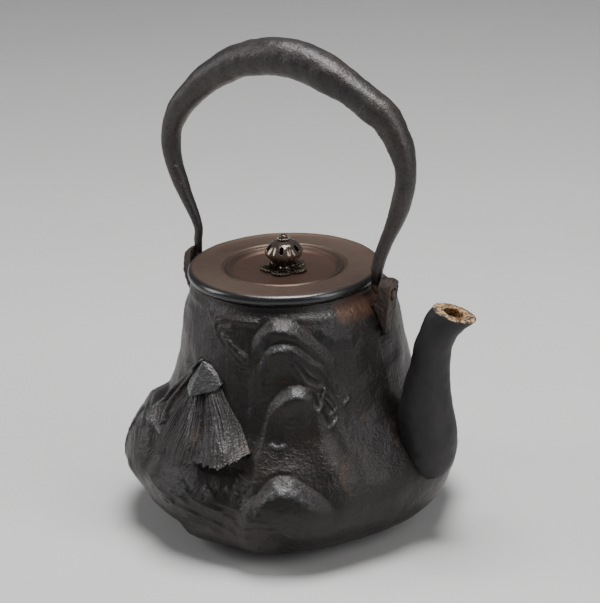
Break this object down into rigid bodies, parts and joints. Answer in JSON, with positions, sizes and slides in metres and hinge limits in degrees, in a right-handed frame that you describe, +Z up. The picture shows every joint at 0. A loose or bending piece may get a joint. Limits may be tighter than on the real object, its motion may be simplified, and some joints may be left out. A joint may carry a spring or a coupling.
{
  "type": "cast iron kettle",
  "caption": "Cast-iron water kettle with a landscape in relief, side spout, swinging hollow bail handle and a lift-off lid with a pierced flower-bud knob.",
  "frame": {"origin": "centre of the flat base, on the axis of the kettle, at the height of the surface it stands on", "axes": "+Z up along the axis of the kettle, +X towards the spout; the handle stands in the XZ plane"},
  "size_m": [0.1754, 0.161, 0.2302],
  "materials": {
    "cast_iron": "brown-black cast iron with soft satin wear on the raised relief",
    "spout_iron": "smoother blue-grey matte cast iron, rusted at the mouth",
    "lug_iron": "rough iron with brown rust",
    "forged_iron": "hand-forged dark brown iron, finely pitted",
    "lid_bronze": "dark brown patinated bronze, polished steel-black on the rolled rim",
    "knob_bronze": "glossy dark bronze"
  },
  "bodies": {
    "kettle": {"kettle_body": "cast_iron", "spout": "spout_iron", "lug_front": "lug_iron", "lug_rear": "lug_iron"},
    "handle": {"handle_bow": "forged_iron", "handle_hook_front": "forged_iron", "handle_hook_rear": "forged_iron"},
    "lid": {"lid_plate": "lid_bronze", "flower_seat": "knob_bronze", "knob_bud": "knob_bronze", "knob_pin": "knob_bronze", "pin_washer": "lid_bronze"}
  },
  "joints": [
    {"name": "handle_swing", "type": "hinge", "parent": "kettle", "child": "handle", "pos_m": [0, 0, 0.117], "axis": [1, 0, 0], "range_deg": [-88, 88]},
    {"name": "lid_lift", "type": "slide", "parent": "kettle", "child": "lid", "axis": [0, 0, 1], "range_m": [0, 0.06]}
  ]
}
